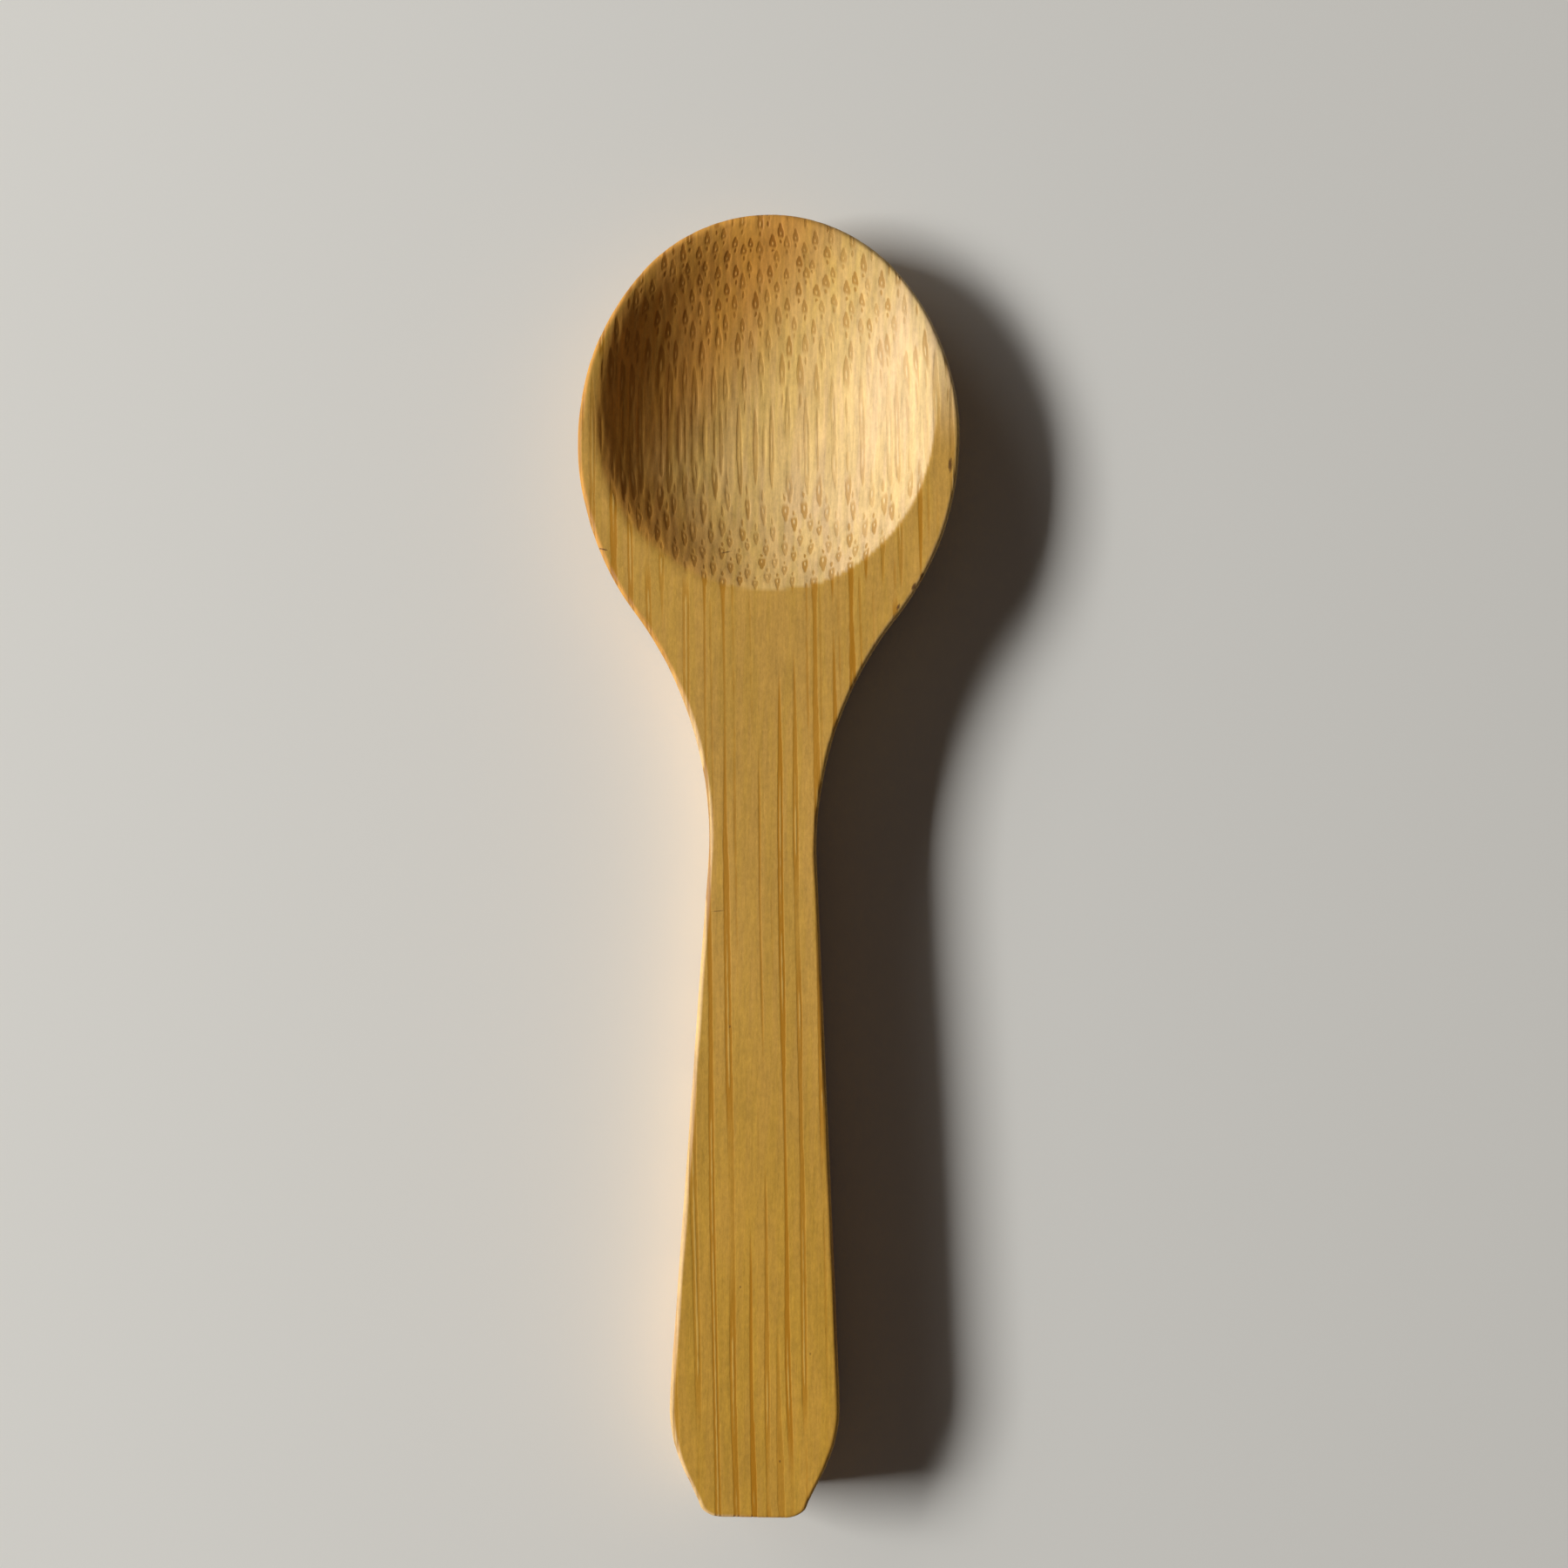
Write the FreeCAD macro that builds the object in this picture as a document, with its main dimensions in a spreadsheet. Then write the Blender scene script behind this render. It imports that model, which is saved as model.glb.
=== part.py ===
import FreeCAD, Part
import math
import os
import Sketcher
from FreeCAD import Vector

# A small bamboo spoon carved from one slat: a round dished bowl, a waisted neck
# and a flat handle that widens towards its blunt end. There is one piece.
#
# Frame: X across the spoon, +Y towards the bowl's tip, +Z up. The origin is on
# the table, under the middle of the spoon's length and width. Millimetres.

# Driving dimensions, all measured on the finished spoon
SIZES = {
    "overall_length": 90.0,
    "slat_thickness": 6.7,
    # bowl outline, seen from above
    "bowl_width": 26.45,
    "tip_to_widest": 15.9,
    "heel_radius": 20.0,
    # neck and handle outline
    "neck_width": 7.42,
    "tip_to_neck": 43.8,
    "butt_width": 11.8,
    "end_to_butt": 7.1,
    "butt_radius": 9.9,
    "end_corner_radius": 1.9,
    # side profile: the bowl's rim droops below the handle's top face
    "tip_to_bend": 27.5,
    "bend_radius": 25.0,
    "droop_radius": 222.0,
    "lip_thickness": 1.3,
    # convex back of the bowl
    "back_radius": 13.0,
    "tip_to_back": 13.5,
    "rest_strip_margin": 0.5,
    # hollow of the bowl: its bottom is round and its wall runs up straight
    "dish_radius": 16.6,
    "dish_round_width": 20.6,
    "dish_floor": 1.05,
    "tip_to_dish": 12.3,
    "dish_stretch": 1.4,
    # edges sanded off by hand
    "top_ease": 0.4,
    "bottom_ease": 0.35,
    # how far a cutting profile runs past the wood
    "overrun": 2.0,
}

# Which way an edge's neighbouring face has to look to count as lying flat
FLAT_SHARE = 0.5


# The document and its sheet of sizes

doc = FreeCAD.newDocument("spoon")
sheet = doc.addObject("Spreadsheet::Sheet", "sizes")
for row, (alias, size) in enumerate(SIZES.items(), start=1):
    sheet.set(f"A{row}", alias)
    sheet.set(f"B{row}", str(size))
    sheet.setAlias(f"B{row}", alias)
doc.recompute()

body = doc.addObject("PartDesign::Body", "bamboo_spoon")
body.Label = "bamboo_spoon"
plane = {feature.Role: feature for feature in body.Origin.OriginFeatures}

# Ends of sketch elements, as the solver numbers them
START, END, CENTRE = range(1, 4)
ORIGIN = (-1, 1)
SKETCH_AXES = (-1, -2)
H_AXIS, V_AXIS = SKETCH_AXES


def new_sketch(name, role):
    """A sketch on one of the body's own origin planes."""
    sketch = body.newObject("Sketcher::SketchObject", name)
    sketch.AttachmentSupport = [(plane[role], "")]
    sketch.MapMode = "FlatFace"
    return sketch


def arc(centre, radius, low, high):
    """A counter-clockwise arc between two angles in radians."""
    circle = Part.Circle(Vector(centre[0], centre[1], 0), Vector(0, 0, 1), radius)
    return Part.ArcOfCircle(circle, low, high)


def line(start, end):
    return Part.LineSegment(Vector(start[0], start[1], 0), Vector(end[0], end[1], 0))


def on_circle(centre, radius, angle):
    return centre[0] + radius * math.cos(angle), centre[1] + radius * math.sin(angle)


def angle_of(centre, point):
    return math.atan2(point[1] - centre[1], point[0] - centre[0])


def rule(sketch, kind, *elements):
    """A geometric constraint, such as Tangent or Horizontal."""
    flat = []
    for element in elements:
        flat.extend(element if isinstance(element, tuple) else (element,))
    sketch.addConstraint(Sketcher.Constraint(kind, *flat))


def dimension(sketch, name, expression, value, kind, *elements):
    """A driving dimension, bound to the sheet."""
    flat = []
    for element in elements:
        flat.extend(element if isinstance(element, tuple) else (element,))
    index = sketch.addConstraint(Sketcher.Constraint(kind, *flat, value))
    sketch.renameConstraint(index, name)
    sketch.setExpression("Constraints." + name, expression)


# Outline of the right half, seen from above

half_length = SIZES["overall_length"] / 2
half_bowl = SIZES["bowl_width"] / 2
half_neck = SIZES["neck_width"] / 2
half_butt = SIZES["butt_width"] / 2
widest_y = half_length - SIZES["tip_to_widest"]
neck_y = half_length - SIZES["tip_to_neck"]
butt_y = SIZES["end_to_butt"] - half_length

# The far half of the bowl is a four-centred oval: one arc for the tip and one
# for the side, joined on the normal of the oval's diagonal.
oval_diagonal = math.hypot(half_bowl, SIZES["tip_to_widest"])
oval_excess = (SIZES["tip_to_widest"] - half_bowl) * oval_diagonal
tip_radius = (oval_diagonal ** 2 - oval_excess) / (2 * SIZES["tip_to_widest"])
side_radius = (oval_diagonal ** 2 + oval_excess) / (2 * half_bowl)
oval_joint = math.atan2(half_bowl, SIZES["tip_to_widest"])
tip_centre = (0, half_length - tip_radius)
side_centre = (half_bowl - side_radius, widest_y)

# The near half narrows in one arc, the heel, into the hollow arc of the neck.
heel_centre = (half_bowl - SIZES["heel_radius"], widest_y)
neck_drop = widest_y - neck_y
neck_gap = half_neck - heel_centre[0]
neck_radius = (neck_gap ** 2 + neck_drop ** 2 - SIZES["heel_radius"] ** 2) / (
    2 * (SIZES["heel_radius"] - neck_gap)
)
neck_centre = (half_neck + neck_radius, neck_y)
heel_joint = angle_of(heel_centre, neck_centre)

# The handle's side is straight, from the neck's arc to the arc of the butt.
butt_centre = (half_butt - SIZES["butt_radius"], butt_y)
handle_reach = math.dist(neck_centre, butt_centre)
handle_turn = angle_of(butt_centre, neck_centre) - math.acos(
    (neck_radius + SIZES["butt_radius"]) / handle_reach
)
handle_top = on_circle(neck_centre, neck_radius, math.pi + handle_turn)
handle_low = on_circle(butt_centre, SIZES["butt_radius"], handle_turn)

# A small arc turns the butt into the straight end.
corner_radius = SIZES["end_corner_radius"]
corner_reach = SIZES["butt_radius"] - corner_radius
corner_drop = SIZES["end_to_butt"] - corner_radius
corner_centre = (
    butt_centre[0] + math.sqrt(corner_reach ** 2 - corner_drop ** 2),
    corner_radius - half_length,
)
corner_joint = angle_of(butt_centre, corner_centre)

outline = new_sketch("outline", "XY_Plane")
(TIP, SIDE, HEEL, NECK, HANDLE, BUTT, CORNER, STRAIGHT_END, MIDDLE,
 NECK_POINT, BUTT_POINT) = range(11)
outline.addGeometry(
    [
        arc(tip_centre, tip_radius, oval_joint, math.pi / 2),
        arc(side_centre, side_radius, 0, oval_joint),
        arc(heel_centre, SIZES["heel_radius"], heel_joint, 0),
        arc(neck_centre, neck_radius, heel_joint + math.pi, math.pi + handle_turn),
        line(handle_top, handle_low),
        arc(butt_centre, SIZES["butt_radius"], corner_joint, handle_turn),
        arc(corner_centre, corner_radius, -math.pi / 2, corner_joint),
        line((corner_centre[0], -half_length), (0, -half_length)),
        line((0, -half_length), (0, half_length)),
    ],
    False,
)
outline.addGeometry(
    [
        Part.Point(Vector(half_neck, neck_y, 0)),
        Part.Point(Vector(half_butt, butt_y, 0)),
    ],
    True,
)
rule(outline, "PointOnObject", (MIDDLE, START), V_AXIS)
rule(outline, "PointOnObject", (MIDDLE, END), V_AXIS)
rule(outline, "Coincident", (TIP, END), (MIDDLE, END))
rule(outline, "Tangent", (TIP, START), (SIDE, END))
rule(outline, "Tangent", (SIDE, START), (HEEL, END))
rule(outline, "Tangent", (HEEL, START), (NECK, START))
rule(outline, "Tangent", (NECK, END), (HANDLE, START))
rule(outline, "Tangent", (HANDLE, END), (BUTT, END))
rule(outline, "Tangent", (BUTT, START), (CORNER, END))
rule(outline, "Tangent", (CORNER, START), (STRAIGHT_END, START))
rule(outline, "Coincident", (STRAIGHT_END, END), (MIDDLE, START))
rule(outline, "Horizontal", STRAIGHT_END)
rule(outline, "PointOnObject", (TIP, CENTRE), V_AXIS)
rule(outline, "Horizontal", (SIDE, CENTRE), (SIDE, START))
rule(outline, "PointOnObject", (NECK_POINT, START), NECK)
rule(outline, "Horizontal", (NECK_POINT, START), (NECK, CENTRE))
rule(outline, "PointOnObject", (BUTT_POINT, START), BUTT)
rule(outline, "Horizontal", (BUTT_POINT, START), (BUTT, CENTRE))
dimension(outline, "tip_y", "sizes.overall_length / 2", half_length,
          "DistanceY", ORIGIN, (TIP, END))
dimension(outline, "end_y", "sizes.overall_length / 2", half_length,
          "DistanceY", (MIDDLE, START), ORIGIN)
dimension(outline, "half_bowl", "sizes.bowl_width / 2", half_bowl,
          "DistanceX", ORIGIN, (SIDE, START))
dimension(outline, "widest", "sizes.tip_to_widest", SIZES["tip_to_widest"],
          "DistanceY", (SIDE, START), (TIP, END))
half = "(sizes.bowl_width / 2)"
diagonal = f"sqrt({half} ^ 2 + sizes.tip_to_widest ^ 2)"
excess = f"(sizes.tip_to_widest - {half}) * {diagonal}"
dimension(outline, "tip_radius",
          f"({diagonal} ^ 2 - {excess}) / (2 * sizes.tip_to_widest)", tip_radius,
          "Radius", TIP)
dimension(outline, "heel_radius", "sizes.heel_radius", SIZES["heel_radius"],
          "Radius", HEEL)
dimension(outline, "half_neck", "sizes.neck_width / 2", half_neck,
          "DistanceX", ORIGIN, (NECK_POINT, START))
dimension(outline, "neck_y", "sizes.tip_to_neck", SIZES["tip_to_neck"],
          "DistanceY", (NECK, CENTRE), (TIP, END))
dimension(outline, "half_butt", "sizes.butt_width / 2", half_butt,
          "DistanceX", ORIGIN, (BUTT_POINT, START))
dimension(outline, "butt_y", "sizes.end_to_butt", SIZES["end_to_butt"],
          "DistanceY", (MIDDLE, START), (BUTT, CENTRE))
dimension(outline, "butt_radius", "sizes.butt_radius", SIZES["butt_radius"],
          "Radius", BUTT)
dimension(outline, "corner_radius", "sizes.end_corner_radius", corner_radius,
          "Radius", CORNER)

blank = body.newObject("PartDesign::Pad", "half_blank")
blank.Profile = outline
blank.setExpression("Length", "sizes.slat_thickness")
doc.recompute()

whole = body.newObject("PartDesign::Mirrored", "whole_blank")
whole.Originals = [blank]
whole.MirrorPlane = (plane["YZ_Plane"], [""])
body.Tip = whole
doc.recompute()


# Side profile: the top face bends down at the bowl's heel and droops in one
# long hollow arc to the tip

strip_half = half_neck + SIZES["rest_strip_margin"]
strip = "(sizes.neck_width / 2 + sizes.rest_strip_margin)"
back_reach = SIZES["tip_to_back"] - strip_half
back_rise = SIZES["back_radius"] - math.sqrt(SIZES["back_radius"] ** 2 - back_reach ** 2)
tip_height = back_rise + SIZES["lip_thickness"]
thickness = SIZES["slat_thickness"]
overrun = SIZES["overrun"]

bend_y = half_length - SIZES["tip_to_bend"]
chord_y = SIZES["tip_to_bend"]
chord_z = tip_height - thickness
chord = math.hypot(chord_y, chord_z)
droop_depth = math.sqrt(SIZES["droop_radius"] ** 2 - (chord / 2) ** 2)
droop_centre = (
    bend_y + chord_y / 2 - droop_depth * chord_z / chord,
    thickness + chord_z / 2 + droop_depth * chord_y / chord,
)
bend_z = thickness - SIZES["bend_radius"]
bend_centre = (
    droop_centre[0] - math.sqrt(
        (SIZES["droop_radius"] + SIZES["bend_radius"]) ** 2 - (droop_centre[1] - bend_z) ** 2
    ),
    bend_z,
)
bend_joint = angle_of(bend_centre, droop_centre)
far_y = half_length + overrun
far_z = droop_centre[1] - math.sqrt(
    SIZES["droop_radius"] ** 2 - (far_y - droop_centre[0]) ** 2
)
clear_z = thickness + overrun

droop = new_sketch("side_profile", "YZ_Plane")
BEND, DROOP, FAR, ABOVE, NEAR, BEND_POINT, TIP_POINT = range(7)
droop.addGeometry(
    [
        arc(bend_centre, SIZES["bend_radius"], bend_joint, math.pi / 2),
        arc(droop_centre, SIZES["droop_radius"], bend_joint + math.pi,
            angle_of(droop_centre, (far_y, far_z)) + 2 * math.pi),
        line((far_y, far_z), (far_y, clear_z)),
        line((far_y, clear_z), (bend_centre[0], clear_z)),
        line((bend_centre[0], clear_z), (bend_centre[0], thickness)),
    ],
    False,
)
droop.addGeometry(
    [
        Part.Point(Vector(bend_y, thickness, 0)),
        Part.Point(Vector(half_length, tip_height, 0)),
    ],
    True,
)
rule(droop, "Tangent", (BEND, START), (DROOP, START))
rule(droop, "Coincident", (DROOP, END), (FAR, START))
rule(droop, "Coincident", (FAR, END), (ABOVE, START))
rule(droop, "Coincident", (ABOVE, END), (NEAR, START))
rule(droop, "Coincident", (NEAR, END), (BEND, END))
rule(droop, "Vertical", FAR)
rule(droop, "Horizontal", ABOVE)
rule(droop, "Vertical", NEAR)
rule(droop, "Vertical", (BEND, CENTRE), (BEND, END))
rule(droop, "PointOnObject", (BEND_POINT, START), DROOP)
rule(droop, "PointOnObject", (TIP_POINT, START), DROOP)
rule(droop, "Horizontal", (BEND_POINT, START), (BEND, END))
dimension(droop, "top", "sizes.slat_thickness", thickness,
          "DistanceY", ORIGIN, (BEND, END))
dimension(droop, "bend_radius", "sizes.bend_radius", SIZES["bend_radius"],
          "Radius", BEND)
dimension(droop, "droop_radius", "sizes.droop_radius", SIZES["droop_radius"],
          "Radius", DROOP)
dimension(droop, "bend_y", "sizes.tip_to_bend", SIZES["tip_to_bend"],
          "DistanceX", (BEND_POINT, START), (TIP_POINT, START))
dimension(droop, "tip_y", "sizes.overall_length / 2", half_length,
          "DistanceX", ORIGIN, (TIP_POINT, START))
reach = f"(sizes.tip_to_back - {strip})"
rise = f"sizes.back_radius - sqrt(sizes.back_radius ^ 2 - {reach} ^ 2)"
dimension(droop, "tip_z", f"{rise} + sizes.lip_thickness", tip_height,
          "DistanceY", ORIGIN, (TIP_POINT, START))
dimension(droop, "past_tip", "sizes.overrun", overrun,
          "DistanceX", (TIP_POINT, START), (FAR, START))
dimension(droop, "above_slat", "sizes.overrun", overrun,
          "DistanceY", (BEND, END), (NEAR, START))

drooped = body.newObject("PartDesign::Pocket", "drooped_bowl")
drooped.Profile = droop
drooped.Type = "ThroughAll"
drooped.Midplane = True
doc.recompute()


def outline_edges(shape, side):
    """Edges between the upright walls and the faces that look up (+1) or down (-1)."""
    upright, lying = {}, {}
    for face in shape.Faces:
        low_u, high_u, low_v, high_v = face.ParameterRange
        tilt = face.normalAt((low_u + high_u) / 2, (low_v + high_v) / 2).z * side
        kind = lying if tilt > FLAT_SHARE else upright if abs(tilt) < FLAT_SHARE else None
        if kind is not None:
            for edge in face.Edges:
                kind[edge.hashCode()] = True
    return [
        f"Edge{number}"
        for number, edge in enumerate(shape.Edges, start=1)
        if edge.hashCode() in upright and edge.hashCode() in lying
    ]


top_eased = body.newObject("PartDesign::Fillet", "top_eased")
top_eased.Base = (drooped, outline_edges(drooped.Shape, 1))
top_eased.setExpression("Radius", "sizes.top_ease")
doc.recompute()


# Convex back of the bowl: one section, turned half round under the tip and
# then carried straight back along both sides to the neck

back_y = half_length - SIZES["tip_to_back"]
back_radius = SIZES["back_radius"]
section = new_sketch("back_section", "XZ_Plane")
section.AttachmentOffset = FreeCAD.Placement(Vector(0, 0, -back_y), FreeCAD.Rotation())
section.setExpression("AttachmentOffset.Base.z",
                      "sizes.tip_to_back - sizes.overall_length / 2")
CURVE, OUTER, UNDER, INNER = range(4)
section.addGeometry(
    [
        arc((strip_half, back_radius), back_radius, -math.pi / 2, 0),
        line((strip_half + back_radius, back_radius), (strip_half + back_radius, -overrun)),
        line((strip_half + back_radius, -overrun), (strip_half, -overrun)),
        line((strip_half, -overrun), (strip_half, 0)),
    ],
    False,
)
rule(section, "Coincident", (CURVE, END), (OUTER, START))
rule(section, "Coincident", (OUTER, END), (UNDER, START))
rule(section, "Coincident", (UNDER, END), (INNER, START))
rule(section, "Coincident", (INNER, END), (CURVE, START))
rule(section, "Vertical", OUTER)
rule(section, "Horizontal", UNDER)
rule(section, "Vertical", INNER)
rule(section, "Vertical", (CURVE, CENTRE), (CURVE, START))
rule(section, "Horizontal", (CURVE, CENTRE), (CURVE, END))
rule(section, "PointOnObject", (CURVE, START), H_AXIS)
dimension(section, "strip_half", strip, strip_half,
          "DistanceX", ORIGIN, (CURVE, START))
dimension(section, "back_radius", "sizes.back_radius", back_radius, "Radius", CURVE)
dimension(section, "below", "sizes.overrun", overrun,
          "DistanceY", (UNDER, END), ORIGIN)

back_tip = body.newObject("PartDesign::Groove", "back_under_tip")
back_tip.Profile = section
back_tip.ReferenceAxis = (section, ["V_Axis"])
back_tip.Angle = 180.0
doc.recompute()

back_side = body.newObject("PartDesign::Pocket", "back_under_side")
back_side.Profile = section
back_side.Reversed = True
back_side.setExpression("Length", "sizes.tip_to_neck - sizes.tip_to_back")
doc.recompute()

back_sides = body.newObject("PartDesign::Mirrored", "back_under_sides")
back_sides.Originals = [back_side]
back_sides.MirrorPlane = (plane["YZ_Plane"], [""])
body.Tip = back_sides
doc.recompute()

bottom_eased = body.newObject("PartDesign::Fillet", "bottom_eased")
bottom_eased.Base = (back_sides, outline_edges(back_sides.Shape, -1))
bottom_eased.setExpression("Radius", "sizes.bottom_ease")
doc.recompute()


# Hollow of the bowl: one section with a round bottom and a straight wall that
# carries on from it, turned at both ends and carried straight between them

dish_radius = SIZES["dish_radius"]
dish_floor = SIZES["dish_floor"]
dish_centre = (0, dish_floor + dish_radius)
wall_foot_x = SIZES["dish_round_width"] / 2
wall_foot_z = dish_centre[1] - math.sqrt(dish_radius ** 2 - wall_foot_x ** 2)
wall_slope = wall_foot_x / (dish_centre[1] - wall_foot_z)
wall_foot = (wall_foot_x, wall_foot_z)
dish_mouth = wall_foot_x + (clear_z - wall_foot_z) / wall_slope


def dish_section(name, back_from_tip, expression):
    """The hollow's section, so far back from the tip."""
    hollow = new_sketch(name, "XZ_Plane")
    hollow.AttachmentOffset = FreeCAD.Placement(
        Vector(0, 0, back_from_tip - half_length), FreeCAD.Rotation()
    )
    hollow.setExpression("AttachmentOffset.Base.z",
                         expression + " - sizes.overall_length / 2")
    BOWL, WALL, MOUTH, AXIS = range(4)
    hollow.addGeometry(
        [
            arc(dish_centre, dish_radius, -math.pi / 2, angle_of(dish_centre, wall_foot)),
            line(wall_foot, (dish_mouth, clear_z)),
            line((dish_mouth, clear_z), (0, clear_z)),
            line((0, clear_z), (0, dish_floor)),
        ],
        False,
    )
    rule(hollow, "Tangent", (BOWL, END), (WALL, START))
    rule(hollow, "Coincident", (WALL, END), (MOUTH, START))
    rule(hollow, "Coincident", (MOUTH, END), (AXIS, START))
    rule(hollow, "Coincident", (AXIS, END), (BOWL, START))
    rule(hollow, "Horizontal", MOUTH)
    rule(hollow, "PointOnObject", (AXIS, START), V_AXIS)
    rule(hollow, "PointOnObject", (AXIS, END), V_AXIS)
    rule(hollow, "PointOnObject", (BOWL, CENTRE), V_AXIS)
    dimension(hollow, "dish_floor", "sizes.dish_floor", dish_floor,
              "DistanceY", ORIGIN, (BOWL, START))
    dimension(hollow, "dish_radius", "sizes.dish_radius", dish_radius, "Radius", BOWL)
    dimension(hollow, "wall_foot", "sizes.dish_round_width / 2", wall_foot_x,
              "DistanceX", ORIGIN, (BOWL, END))
    dimension(hollow, "mouth", "sizes.slat_thickness + sizes.overrun", clear_z,
              "DistanceY", ORIGIN, (MOUTH, END))
    return hollow


def turned_hollow(name, hollow):
    """The hollow's section turned about its own upright axis."""
    turned = body.newObject("PartDesign::Groove", name)
    turned.Profile = hollow
    turned.ReferenceAxis = (hollow, ["V_Axis"])
    turned.Angle = 360.0
    doc.recompute()
    return turned


heel_section = dish_section("dish_heel_section",
                            SIZES["tip_to_dish"] + SIZES["dish_stretch"],
                            "sizes.tip_to_dish + sizes.dish_stretch")
dish_heel = turned_hollow("dish_heel", heel_section)

dish_side = body.newObject("PartDesign::Pocket", "dish_side")
dish_side.Profile = heel_section
dish_side.setExpression("Length", "sizes.dish_stretch")
doc.recompute()

dish_sides = body.newObject("PartDesign::Mirrored", "dish_sides")
dish_sides.Originals = [dish_side]
dish_sides.MirrorPlane = (plane["YZ_Plane"], [""])
body.Tip = dish_sides
doc.recompute()

tip_section = dish_section("dish_tip_section", SIZES["tip_to_dish"], "sizes.tip_to_dish")
dish_tip = turned_hollow("dish_tip", tip_section)
body.Tip = dish_tip
doc.recompute()


# Each cut has to take wood away, and each feature has to be sound

steps = [whole, drooped, top_eased, back_tip, back_side, back_sides, bottom_eased,
         dish_heel, dish_side, dish_sides, dish_tip]
for earlier, later in zip(steps, steps[1:]):
    print(f"{later.Name}: {later.Shape.Volume:.2f} mm3")
    if not later.Shape.Volume < earlier.Shape.Volume:
        raise RuntimeError(f"{later.Name} took nothing away")

for item in doc.Objects:
    if "Invalid" in item.State or "Error" in item.State:
        raise RuntimeError(f"{item.Name} failed: {item.State}")

shape = body.Shape
if shape.isNull() or not shape.isValid() or len(shape.Solids) != 1:
    raise RuntimeError("the spoon isn't one sound solid")

os.makedirs("parts", exist_ok=True)
shape.exportStep(f"parts/{body.Label}.step")
box = shape.BoundBox
print(f"box {box.XLength:.2f} x {box.YLength:.2f} x {box.ZLength:.2f} mm,",
      f"{len(shape.Faces)} faces")
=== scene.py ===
import math

import bpy
import numpy as np
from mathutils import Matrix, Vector


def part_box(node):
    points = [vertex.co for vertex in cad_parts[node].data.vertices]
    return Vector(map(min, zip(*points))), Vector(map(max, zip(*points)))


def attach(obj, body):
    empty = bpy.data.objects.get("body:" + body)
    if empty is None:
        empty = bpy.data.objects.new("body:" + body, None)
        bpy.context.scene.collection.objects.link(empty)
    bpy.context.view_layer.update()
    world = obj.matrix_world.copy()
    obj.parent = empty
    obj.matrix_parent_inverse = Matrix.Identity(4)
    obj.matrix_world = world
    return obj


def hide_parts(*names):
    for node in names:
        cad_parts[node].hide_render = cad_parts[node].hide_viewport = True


# A small bamboo spoon lying on pale paper, in the low light of a window.
# Shapes are worked out in millimetres and made metres when their mesh is made.
MM = 0.001

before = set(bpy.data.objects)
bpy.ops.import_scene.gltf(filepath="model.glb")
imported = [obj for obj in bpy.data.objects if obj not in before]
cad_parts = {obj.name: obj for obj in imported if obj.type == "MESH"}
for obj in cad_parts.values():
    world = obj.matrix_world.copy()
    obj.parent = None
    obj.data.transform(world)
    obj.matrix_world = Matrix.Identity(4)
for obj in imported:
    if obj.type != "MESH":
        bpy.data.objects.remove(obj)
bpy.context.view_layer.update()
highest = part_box("bamboo_spoon")[1]


# Sizes of the carved spoon, the same as the solid's

HALF_LENGTH = highest[1] / MM
HALF_BOWL = highest[0] / MM
SLAT = highest[2] / MM
TIP_TO_WIDEST = 15.9
HEEL_RADIUS = 20.0
HALF_NECK = 3.71
TIP_TO_NECK = 43.8
HALF_BUTT = 5.9
END_TO_BUTT = 7.1
BUTT_RADIUS = 9.9
CORNER_RADIUS = 1.9
TIP_TO_BEND = 27.5
BEND_RADIUS = 25.0
DROOP_RADIUS = 222.0
LIP = 1.3
BACK_RADIUS = 13.0
TIP_TO_BACK = 13.5
STRIP_HALF = HALF_NECK + 0.5
DISH_RADIUS = 16.6
DISH_ROUND = 10.3
DISH_FLOOR = 1.05
TIP_TO_DISH = 12.3
DISH_STRETCH = 1.4

# How far the edges are sanded round, at places along the spoon
EASE_AT = [-45.0, -43.5, -40.0, 0.0, 10.0, 22.0, 34.0, 41.0, 45.0]
TOP_EASE = [0.22, 0.28, 0.36, 0.34, 0.34, 0.34, 0.34, 0.42, 0.55]
BOTTOM_EASE = 0.35

# How the end is trimmed by hand: shares of the width, at places along the spoon
TRIM_AT = [-45.0, -44.4, -43.9, -43.2, -42.5, -41.2, -39.9, -38.0, -36.0]
END_TRIM = [1.05, 1.035, 0.975, 0.945, 0.94, 0.955, 0.975, 0.99, 1.0]

# How much the sanding has taken off the tip, and where along the spoon that starts
TIP_TRIM = 0.22
TRIM_FROM = 34.0

# What the hand leaves: a dip at the neck, wavering faces, edges and sides, torn fibre,
# and a dish that is cut lower on its left
DIP = 0.16
DIP_AT = -4.0
DIP_REACH = 8.0
FACE_WAVER = 0.03
EASE_WAVER = 0.05
SIDE_WAVER = 0.006
TORN = 0.01
LEFT_CUT = 0.38

# How softly the dish's edge is blended: everywhere, more on the left, more at the tip
CRISP = 0.1
LEFT_SOFT = 0.5
TIP_SOFT = 0.7

# How finely the wood is drawn
TOP_COLUMNS = 240
BOTTOM_COLUMNS = 80
WALL_STEPS = 10
EDGE_COLUMNS = 12
EDGE_SHARE = 0.045

# How bare and how grooved the side walls and the end are, next to the dish's 1
WALL_BARE = 0.45
WALL_GROOVED = 0.35


# Outline, side profile, dish and back

def angle_of(centre, point):
    return math.atan2(point[1] - centre[1], point[0] - centre[0])


def on_circle(centre, radius, angle):
    return centre[0] + radius * math.cos(angle), centre[1] + radius * math.sin(angle)


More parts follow.
